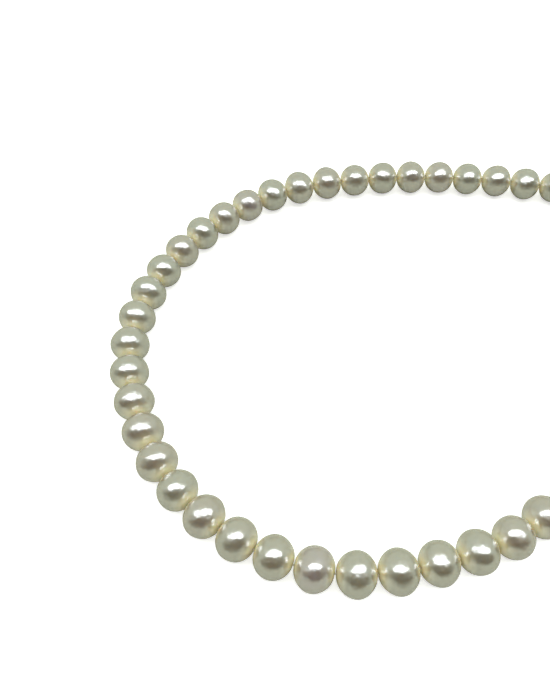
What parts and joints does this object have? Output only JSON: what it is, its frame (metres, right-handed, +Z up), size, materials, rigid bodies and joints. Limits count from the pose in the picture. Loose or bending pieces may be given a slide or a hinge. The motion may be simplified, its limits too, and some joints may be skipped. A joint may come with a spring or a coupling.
{
  "type": "pearl necklace",
  "caption": "Single-strand pearl necklace strung without knots, laid in an open oval, with bead tips, a sprung lobster clasp on a jump ring and a catch ring.",
  "frame": {"origin": "middle of the laid-out necklace's outline, on the table it lies on", "axes": "+Z up from the table, -Y towards the front of the loop as it is laid before a viewer, +X to the viewer's right, where the clasp ends lie at the back"},
  "size_m": [0.1552, 0.1136, 0.0085],
  "materials": {
    "nacre": "gloss",
    "silk": "matte",
    "silver_plate": "polished",
    "spring_steel": "satin"
  },
  "bodies": {
    "pearl_01": {"pearl_01": "nacre"},
    "pearl_02": {"pearl_02": "nacre"},
    "pearl_03": {"pearl_03": "nacre"},
    "pearl_04": {"pearl_04": "nacre"},
    "pearl_05": {"pearl_05": "nacre"},
    "pearl_06": {"pearl_06": "nacre"},
    "pearl_07": {"pearl_07": "nacre"},
    "pearl_08": {"pearl_08": "nacre"},
    "pearl_09": {"pearl_09": "nacre"},
    "pearl_10": {"pearl_10": "nacre"},
    "pearl_11": {"pearl_11": "nacre"},
    "pearl_12": {"pearl_12": "nacre"},
    "pearl_13": {"pearl_13": "nacre"},
    "pearl_14": {"pearl_14": "nacre"},
    "pearl_15": {"pearl_15": "nacre"},
    "pearl_16": {"pearl_16": "nacre"},
    "pearl_17": {"pearl_17": "nacre"},
    "pearl_18": {"pearl_18": "nacre"},
    "pearl_19": {"pearl_19": "nacre"},
    "pearl_20": {"pearl_20": "nacre"},
    "pearl_21": {"pearl_21": "nacre"},
    "pearl_22": {"pearl_22": "nacre"},
    "pearl_23": {"pearl_23": "nacre"},
    "pearl_24": {"pearl_24": "nacre"},
    "pearl_25": {"pearl_25": "nacre", "silk_thread": "silk"},
    "pearl_26": {"pearl_26": "nacre"},
    "pearl_27": {"pearl_27": "nacre"},
    "pearl_28": {"pearl_28": "nacre"},
    "pearl_29": {"pearl_29": "nacre"},
    "pearl_30": {"pearl_30": "nacre"},
    "pearl_31": {"pearl_31": "nacre"},
    "pearl_32": {"pearl_32": "nacre"},
    "pearl_33": {"pearl_33": "nacre"},
    "pearl_34": {"pearl_34": "nacre"},
    "pearl_35": {"pearl_35": "nacre"},
    "pearl_36": {"pearl_36": "nacre"},
    "pearl_37": {"pearl_37": "nacre"},
    "pearl_38": {"pearl_38": "nacre"},
    "pearl_39": {"pearl_39": "nacre"},
    "pearl_40": {"pearl_40": "nacre"},
    "pearl_41": {"pearl_41": "nacre"},
    "pearl_42": {"pearl_42": "nacre"},
    "pearl_43": {"pearl_43": "nacre"},
    "pearl_44": {"pearl_44": "nacre"},
    "pearl_45": {"pearl_45": "nacre"},
    "pearl_46": {"pearl_46": "nacre"},
    "pearl_47": {"pearl_47": "nacre"},
    "pearl_48": {"pearl_48": "nacre"},
    "pearl_49": {"pearl_49": "nacre"},
    "hook_end_tip": {"hook_end_tip": "silver_plate", "hook_end_crimp": "silver_plate"},
    "ring_end_tip": {"ring_end_tip": "silver_plate", "ring_end_crimp": "silver_plate"},
    "jump_ring": {"jump_ring": "silver_plate"},
    "catch_ring": {"catch_ring": "silver_plate"},
    "clasp_body": {"clasp_body": "silver_plate", "clasp_rivet": "silver_plate", "clasp_spring": "spring_steel"},
    "clasp_lever": {"clasp_lever": "silver_plate"}
  },
  "joints": [
    {"name": "clasp_lever_open", "type": "hinge", "parent": "clasp_body", "child": "clasp_lever", "pos_m": [0.0531, 0.04065, 0.0015], "axis": [0, 0, 1], "range_deg": [0, 22], "stiffness_Nm_per_rad": 0.002, "springref_deg": -17.19, "deforming": ["clasp_spring"]},
    {"name": "clasp_body_swing", "type": "hinge", "parent": "jump_ring", "child": "clasp_body", "pos_m": [0.0511, 0.04475, 0.0015], "axis": [0, 0, 1], "range_deg": [-70, 70]},
    {"name": "catch_ring_lift", "type": "hinge", "parent": "ring_end_tip", "child": "catch_ring", "pos_m": [0.06671, 0.03537, 0.00173], "axis": [0.7431, 0.6691, 0], "range_deg": [-10, 100]},
    {"name": "hook_tip_lift", "type": "hinge", "parent": "pearl_01", "child": "hook_end_tip", "pos_m": [0.04255, 0.0468, 0.00405], "axis": [-0.1731, -0.9849, 0], "range_deg": [-4, 50]},
    {"name": "jump_ring_lift", "type": "hinge", "parent": "hook_end_tip", "child": "jump_ring", "pos_m": [0.04744, 0.04594, 0.00173], "axis": [-0.309, -0.9511, 0], "range_deg": [-40, 0]},
    {"name": "ring_tip_lift", "type": "hinge", "parent": "pearl_49", "child": "ring_end_tip", "pos_m": [0.06871, 0.03083, 0.00405], "axis": [0.9146, 0.4043, 0], "range_deg": [-4, 50]},
    {"name": "pearl_24_lift", "type": "hinge", "parent": "pearl_25", "child": "pearl_24", "pos_m": [-0.06265, -0.03392, 0.00425], "axis": [0.7996, 0.6005, 0], "range_deg": [-18, 18], "deforming": ["silk_thread"]},
    {"name": "pearl_26_lift", "type": "hinge", "parent": "pearl_25", "child": "pearl_26", "pos_m": [-0.05769, -0.03957, 0.00425], "axis": [-0.6957, -0.7183, 0], "range_deg": [-18, 18], "deforming": ["silk_thread"]},
    {"name": "pearl_23_sway", "type": "hinge", "parent": "pearl_24", "child": "pearl_23", "pos_m": [-0.06667, -0.02758, 0.00424], "axis": [0, 0, 1], "range_deg": [0, 27]},
    {"name": "pearl_27_sway", "type": "hinge", "parent": "pearl_26", "child": "pearl_27", "pos_m": [-0.0519, -0.04435, 0.00424], "axis": [0, 0, -1], "range_deg": [0, 26]},
    {"name": "pearl_22_lift", "type": "hinge", "parent": "pearl_23", "child": "pearl_22", "pos_m": [-0.06962, -0.02067, 0.00423], "axis": [-0.9387, -0.3448, 0], "range_deg": [-18, 18]},
    {"name": "pearl_28_lift", "type": "hinge", "parent": "pearl_27", "child": "pearl_28", "pos_m": [-0.04544, -0.0482, 0.00423], "axis": [0.4382, 0.8989, 0], "range_deg": [-18, 18]},
    {"name": "pearl_21_sway", "type": "hinge", "parent": "pearl_22", "child": "pearl_21", "pos_m": [-0.07183, -0.01349, 0.00422], "axis": [0, 0, 1], "range_deg": [0, 24]},
    {"name": "pearl_29_sway", "type": "hinge", "parent": "pearl_28", "child": "pearl_29", "pos_m": [-0.03844, -0.05092, 0.00422], "axis": [0, 0, -1], "range_deg": [0, 27]},
    {"name": "pearl_20_lift", "type": "hinge", "parent": "pearl_21", "child": "pearl_20", "pos_m": [-0.07329, -0.00612, 0.00421], "axis": [0.9952, 0.0977, 0], "range_deg": [-18, 18]},
    {"name": "pearl_30_lift", "type": "hinge", "parent": "pearl_29", "child": "pearl_30", "pos_m": [-0.03108, -0.05247, 0.00421], "axis": [-0.1228, -0.9924, 0], "range_deg": [-18, 18]},
    {"name": "pearl_19_sway", "type": "hinge", "parent": "pearl_20", "child": "pearl_19", "pos_m": [-0.07334, 0.00139, 0.0042], "axis": [0, 0, 1], "range_deg": [0, 28]},
    {"name": "pearl_31_sway", "type": "hinge", "parent": "pearl_30", "child": "pearl_31", "pos_m": [-0.02357, -0.05274, 0.0042], "axis": [0, 0, -1], "range_deg": [0, 29]},
    {"name": "pearl_18_lift", "type": "hinge", "parent": "pearl_19", "child": "pearl_18", "pos_m": [-0.07205, 0.0088, 0.0042], "axis": [-0.9711, 0.2388, 0], "range_deg": [-18, 18]},
    {"name": "pearl_32_lift", "type": "hinge", "parent": "pearl_31", "child": "pearl_32", "pos_m": [-0.01616, -0.05149, 0.0042], "axis": [-0.1952, 0.9808, 0], "range_deg": [-18, 18]},
    {"name": "pearl_17_sway", "type": "hinge", "parent": "pearl_18", "child": "pearl_17", "pos_m": [-0.06973, 0.01594, 0.00419], "axis": [0, 0, 1], "range_deg": [0, 27]},
    {"name": "pearl_33_sway", "type": "hinge", "parent": "pearl_32", "child": "pearl_33", "pos_m": [-0.00886, -0.04973, 0.00419], "axis": [0, 0, -1], "range_deg": [0, 22]},
    {"name": "pearl_16_lift", "type": "hinge", "parent": "pearl_17", "child": "pearl_16", "pos_m": [-0.0663, 0.02263, 0.00418], "axis": [0.8631, -0.5049, 0], "range_deg": [-18, 18]},
    {"name": "pearl_34_lift", "type": "hinge", "parent": "pearl_33", "child": "pearl_34", "pos_m": [-0.00169, -0.04751, 0.00418], "axis": [0.3618, -0.9323, 0], "range_deg": [-18, 18]},
    {"name": "pearl_15_sway", "type": "hinge", "parent": "pearl_16", "child": "pearl_15", "pos_m": [-0.06213, 0.02887, 0.00417], "axis": [0, 0, 1], "range_deg": [0, 24]},
    {"name": "pearl_35_sway", "type": "hinge", "parent": "pearl_34", "child": "pearl_35", "pos_m": [0.00509, -0.0443, 0.00417], "axis": [0, 0, -1], "range_deg": [0, 28]},
    {"name": "pearl_14_lift", "type": "hinge", "parent": "pearl_15", "child": "pearl_14", "pos_m": [-0.05726, 0.03459, 0.00416], "axis": [-0.7198, 0.6942, 0], "range_deg": [-18, 18]},
    {"name": "pearl_36_lift", "type": "hinge", "parent": "pearl_35", "child": "pearl_36", "pos_m": [0.01112, -0.03981, 0.00416], "axis": [-0.5439, 0.8392, 0], "range_deg": [-18, 18]},
    {"name": "pearl_13_sway", "type": "hinge", "parent": "pearl_14", "child": "pearl_13", "pos_m": [-0.05173, 0.03967, 0.00415], "axis": [0, 0, 1], "range_deg": [0, 24]},
    {"name": "pearl_37_sway", "type": "hinge", "parent": "pearl_36", "child": "pearl_37", "pos_m": [0.01758, -0.03599, 0.00415], "axis": [0, 0, -1], "range_deg": [0, 13]},
    {"name": "pearl_12_lift", "type": "hinge", "parent": "pearl_13", "child": "pearl_12", "pos_m": [-0.04567, 0.0441, 0.00415], "axis": [0.525, -0.8511, 0], "range_deg": [-18, 18]},
    {"name": "pearl_38_lift", "type": "hinge", "parent": "pearl_37", "child": "pearl_38", "pos_m": [0.02436, -0.03279, 0.00415], "axis": [0.429, -0.9033, 0], "range_deg": [-18, 18]},
    {"name": "pearl_11_sway", "type": "hinge", "parent": "pearl_12", "child": "pearl_11", "pos_m": [-0.039, 0.04755, 0.00414], "axis": [0, 0, 1], "range_deg": [0, 29]},
    {"name": "pearl_39_sway", "type": "hinge", "parent": "pearl_38", "child": "pearl_39", "pos_m": [0.03115, -0.02959, 0.00414], "axis": [0, 0, -1], "range_deg": [0, 18]},
    {"name": "pearl_10_lift", "type": "hinge", "parent": "pearl_11", "child": "pearl_10", "pos_m": [-0.03177, 0.0496, 0.00413], "axis": [-0.238, 0.9713, 0], "range_deg": [-18, 18]},
    {"name": "pearl_40_lift", "type": "hinge", "parent": "pearl_39", "child": "pearl_40", "pos_m": [0.03789, -0.02632, 0.00413], "axis": [-0.4356, 0.9002, 0], "range_deg": [-18, 18]},
    {"name": "pearl_09_sway", "type": "hinge", "parent": "pearl_10", "child": "pearl_09", "pos_m": [-0.0244, 0.05103, 0.00412], "axis": [0, 0, 1], "range_deg": [0, 21]},
    {"name": "pearl_41_sway", "type": "hinge", "parent": "pearl_40", "child": "pearl_41", "pos_m": [0.04467, -0.02309, 0.00412], "axis": [0, 0, -1], "range_deg": [0, 21]},
    {"name": "pearl_08_lift", "type": "hinge", "parent": "pearl_09", "child": "pearl_08", "pos_m": [-0.01696, 0.05202, 0.00411], "axis": [0.1074, -0.9942, 0], "range_deg": [-18, 18]},
    {"name": "pearl_42_lift", "type": "hinge", "parent": "pearl_41", "child": "pearl_42", "pos_m": [0.05119, -0.01939, 0.00411], "axis": [0.5158, -0.8567, 0], "range_deg": [-18, 18]},
    {"name": "pearl_07_sway", "type": "hinge", "parent": "pearl_08", "child": "pearl_07", "pos_m": [-0.00949, 0.05264, 0.0041], "axis": [0, 0, 1], "range_deg": [0, 21]},
    {"name": "pearl_43_sway", "type": "hinge", "parent": "pearl_42", "child": "pearl_43", "pos_m": [0.05751, -0.01533, 0.0041], "axis": [0, 0, -1], "range_deg": [0, 23]},
    {"name": "pearl_06_lift", "type": "hinge", "parent": "pearl_07", "child": "pearl_06", "pos_m": [-0.00199, 0.05282, 0.0041], "axis": [0.0091, 1, 0], "range_deg": [-18, 18]},
    {"name": "pearl_44_lift", "type": "hinge", "parent": "pearl_43", "child": "pearl_44", "pos_m": [0.06345, -0.01072, 0.0041], "axis": [-0.7068, 0.7074, 0], "range_deg": [-18, 18]},
    {"name": "pearl_05_sway", "type": "hinge", "parent": "pearl_06", "child": "pearl_05", "pos_m": [0.00551, 0.05249, 0.00409], "axis": [0, 0, 1], "range_deg": [0, 20]},
    {"name": "pearl_45_sway", "type": "hinge", "parent": "pearl_44", "child": "pearl_45", "pos_m": [0.06814, -0.00485, 0.00409], "axis": [0, 0, -1], "range_deg": [0, 28]},
    {"name": "pearl_04_lift", "type": "hinge", "parent": "pearl_05", "child": "pearl_04", "pos_m": [0.01298, 0.05179, 0.00408], "axis": [-0.1051, -0.9945, 0], "range_deg": [-18, 18]},
    {"name": "pearl_46_lift", "type": "hinge", "parent": "pearl_45", "child": "pearl_46", "pos_m": [0.07173, 0.00177, 0.00408], "axis": [0.9302, -0.367, 0], "range_deg": [-18, 18]},
    {"name": "pearl_03_sway", "type": "hinge", "parent": "pearl_04", "child": "pearl_03", "pos_m": [0.02042, 0.05088, 0.00407], "axis": [0, 0, 1], "range_deg": [0, 21]},
    {"name": "pearl_47_sway", "type": "hinge", "parent": "pearl_46", "child": "pearl_47", "pos_m": [0.07366, 0.00905, 0.00407], "axis": [0, 0, -1], "range_deg": [0, 35]},
    {"name": "pearl_02_lift", "type": "hinge", "parent": "pearl_03", "child": "pearl_02", "pos_m": [0.0278, 0.04956, 0.00406], "axis": [0.1821, 0.9833, 0], "range_deg": [-18, 18]},
    {"name": "pearl_48_lift", "type": "hinge", "parent": "pearl_47", "child": "pearl_48", "pos_m": [0.07329, 0.01658, 0.00406], "axis": [-0.9912, -0.1324, 0], "range_deg": [-18, 18]},
    {"name": "pearl_01_sway", "type": "hinge", "parent": "pearl_02", "child": "pearl_01", "pos_m": [0.03516, 0.04811, 0.00405], "axis": [0, 0, 1], "range_deg": [0, 16]},
    {"name": "pearl_49_sway", "type": "hinge", "parent": "pearl_48", "child": "pearl_49", "pos_m": [0.07168, 0.02393, 0.00405], "axis": [0, 0, -1], "range_deg": [0, 29]}
  ]
}
